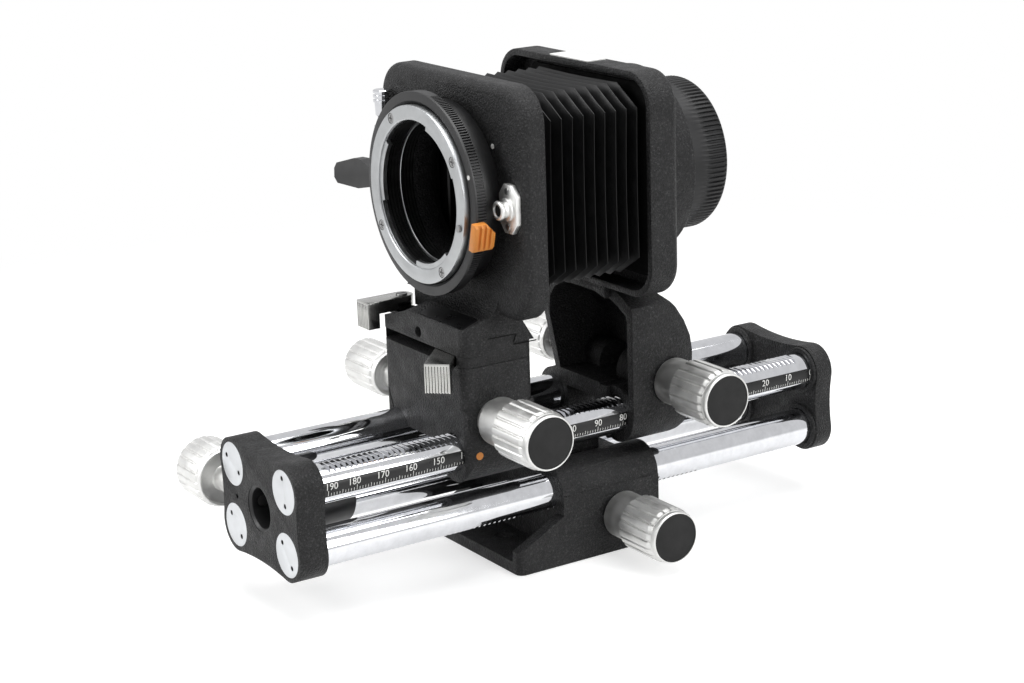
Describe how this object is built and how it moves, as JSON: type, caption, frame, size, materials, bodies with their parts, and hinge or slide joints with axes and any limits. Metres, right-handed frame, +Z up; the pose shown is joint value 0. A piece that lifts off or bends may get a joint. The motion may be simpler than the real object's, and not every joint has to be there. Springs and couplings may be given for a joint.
{
  "type": "macro bellows unit",
  "caption": "Macro bellows unit: lens and camera standards on geared rails over a tripod block, with swing, shift, focusing drives, lock knobs and a folded bellows.",
  "frame": {"origin": "centre of the tripod socket's mouth, on the underside of the base", "axes": "+Z up, +Y along the rails towards the camera, +X towards the drive knobs"},
  "size_m": [0.1253, 0.2153, 0.16],
  "materials": {
    "black_crackle": "black crackle paint on cast aluminium",
    "black_satin": "satin black anodised metal",
    "chrome": "bright chrome plate",
    "satin_aluminium": "satin turned aluminium",
    "steel": "machined steel",
    "bayonet_steel": "brushed bayonet steel",
    "orange_plastic": "orange plastic",
    "black_plastic": "satin black plastic",
    "white_plate": "blank white plate",
    "bellows_cloth": "matt black bellows cloth"
  },
  "bodies": {
    "tripod_block": {"tripod_block": "black_crackle", "focus_pinion_bush": "satin_aluminium"},
    "focus_drive": {"focus_pinion": "steel", "focus_knob": "satin_aluminium", "focus_knob_disc": "black_plastic"},
    "focus_lock": {"focus_lock_knob": "satin_aluminium", "focus_lock_screw": "steel"},
    "rails": {"front_end_plate": "black_crackle", "rear_end_plate": "black_crackle", "upper_left_tube": "chrome", "upper_right_tube": "chrome", "lower_left_tube": "chrome", "lower_right_tube": "chrome", "front_tube_caps": "satin_aluminium", "rear_tube_caps": "satin_aluminium", "socket_sleeve": "black_satin", "scale_strip": "black_satin"},
    "socket_clamp": {"socket_clamp_knob": "satin_aluminium", "socket_clamp_screw": "steel"},
    "front_carriage": {"front_carriage": "black_crackle", "index_dot": "orange_plastic", "front_pinion_bush": "satin_aluminium"},
    "front_drive": {"front_pinion": "steel", "front_drive_knob": "satin_aluminium", "front_drive_disc": "black_plastic"},
    "front_lock": {"front_lock_knob": "satin_aluminium", "front_lock_screw": "steel"},
    "swing_block": {"swing_block": "black_crackle", "swing_pivot": "steel"},
    "swing_lever": {"swing_lever": "satin_aluminium"},
    "front_frame": {"front_frame": "black_crackle", "mount_housing": "black_satin", "bayonet_ring": "bayonet_steel", "bayonet_screws": "steel", "release_socket": "satin_aluminium", "badge_plate": "black_satin", "plunger_guide": "chrome", "bellows_front_plate": "black_satin", "shift_lever_screw": "steel"},
    "shift_lever": {"shift_lever": "satin_aluminium"},
    "release_ring": {"release_ring": "black_satin", "release_tab": "orange_plastic"},
    "lens_lock_pin": {"lens_lock_pin": "steel"},
    "stop_lever": {"stop_lever": "black_satin"},
    "plunger_button": {"plunger_button": "chrome"},
    "rear_standard": {"rear_frame": "black_crackle", "rear_leg": "black_crackle", "top_plate": "white_plate", "bellows_rear_plate": "black_satin", "bellows": "bellows_cloth", "rear_pinion_bush": "satin_aluminium"},
    "rear_drive": {"rear_pinion": "steel", "rear_drive_knob": "satin_aluminium", "rear_drive_disc": "black_plastic"},
    "rear_lock": {"rear_lock_knob": "satin_aluminium", "rear_lock_screw": "steel"},
    "camera_mount": {"camera_mount_ring": "chrome"},
    "rear_cap": {"rear_cap": "black_plastic"}
  },
  "joints": [
    {"name": "focus_slide", "type": "slide", "parent": "tripod_block", "child": "rails", "axis": [0, 1, 0], "range_m": [-0.065, 0.06]},
    {"name": "focus_knob_turn", "type": "hinge", "parent": "tripod_block", "child": "focus_drive", "pos_m": [0, 0.0036, 0.01285], "axis": [1, 0, 0], "range_deg": [-675, 731]},
    {"name": "focus_lock_turn", "type": "hinge", "parent": "tripod_block", "child": "focus_lock", "pos_m": [0, 0.0036, 0.01285], "axis": [1, 0, 0], "range_deg": [-180, 0]},
    {"name": "front_slide", "type": "slide", "parent": "rails", "child": "front_carriage", "axis": [0, 1, 0], "range_m": [-0.05, 0.008], "deforming": ["bellows"]},
    {"name": "front_drive_turn", "type": "hinge", "parent": "front_carriage", "child": "front_drive", "pos_m": [0, -0.0434, 0.05445], "axis": [1, 0, 0], "range_deg": [-81, 503]},
    {"name": "front_lock_turn", "type": "hinge", "parent": "front_carriage", "child": "front_lock", "pos_m": [0, -0.0434, 0.05445], "axis": [1, 0, 0], "range_deg": [-180, 0]},
    {"name": "swing", "type": "hinge", "parent": "front_carriage", "child": "swing_block", "pos_m": [0, -0.0409, 0.0724], "axis": [0, 0, 1], "range_deg": [-20, 20], "deforming": ["bellows"]},
    {"name": "swing_lever_turn", "type": "hinge", "parent": "swing_block", "child": "swing_lever", "pos_m": [0, -0.0409, 0.0724], "axis": [0, 0, 1], "range_deg": [-60, 0]},
    {"name": "shift", "type": "slide", "parent": "swing_block", "child": "front_frame", "axis": [1, 0, 0], "range_m": [-0.01, 0.01], "deforming": ["bellows"]},
    {"name": "shift_lever_turn", "type": "hinge", "parent": "front_frame", "child": "shift_lever", "pos_m": [-0.0292, -0.0437, 0.0798], "axis": [0, 0, 1], "range_deg": [-70, 0]},
    {"name": "release_turn", "type": "hinge", "parent": "front_frame", "child": "release_ring", "pos_m": [0, -0.0502, 0.12365], "axis": [0, 1, 0], "range_deg": [0, 12], "stiffness_Nm_per_rad": 0.15},
    {"name": "lock_pin_slide", "type": "slide", "parent": "front_frame", "child": "lens_lock_pin", "axis": [0, 1, 0], "range_m": [0, 0.0013]},
    {"name": "stop_lever_turn", "type": "hinge", "parent": "front_frame", "child": "stop_lever", "pos_m": [0, -0.043, 0.12365], "axis": [0, 1, 0], "range_deg": [-20, 0], "stiffness_Nm_per_rad": 0.2},
    {"name": "plunger_press", "type": "slide", "parent": "front_frame", "child": "plunger_button", "axis": [0, 0, 1], "range_m": [-0.003, 0], "stiffness_N_per_m": 300},
    {"name": "rear_slide", "type": "slide", "parent": "rails", "child": "rear_standard", "axis": [0, 1, 0], "range_m": [-0.006, 0.05], "deforming": ["bellows"]},
    {"name": "rear_drive_turn", "type": "hinge", "parent": "rear_standard", "child": "rear_drive", "pos_m": [0, 0.0248, 0.05445], "axis": [1, 0, 0], "range_deg": [-503, 61]},
    {"name": "rear_lock_turn", "type": "hinge", "parent": "rear_standard", "child": "rear_lock", "pos_m": [0, 0.0248, 0.05445], "axis": [1, 0, 0], "range_deg": [-180, 0]},
    {"name": "camera_mount_turn", "type": "hinge", "parent": "rear_standard", "child": "camera_mount", "pos_m": [0, 0.0321, 0.12365], "axis": [0, 1, 0], "range_deg": [0, 90]},
    {"name": "rear_cap_pull", "type": "slide", "parent": "camera_mount", "child": "rear_cap", "axis": [0, 1, 0], "range_m": [0, 0.03]},
    {"name": "socket_clamp_turn", "type": "hinge", "parent": "rails", "child": "socket_clamp", "pos_m": [0, -0.1099, 0.03335], "axis": [1, 0, 0], "range_deg": [-180, 0]}
  ],
  "couplings": [
    {"joint": "focus_knob_turn", "follows": "focus_slide", "rad_per_m": -196.08},
    {"joint": "front_drive_turn", "follows": "front_slide", "rad_per_m": -175.44},
    {"joint": "rear_drive_turn", "follows": "rear_slide", "rad_per_m": -175.44},
    {"joint": "lock_pin_slide", "follows": "release_turn", "m_per_rad": 0.0062}
  ]
}
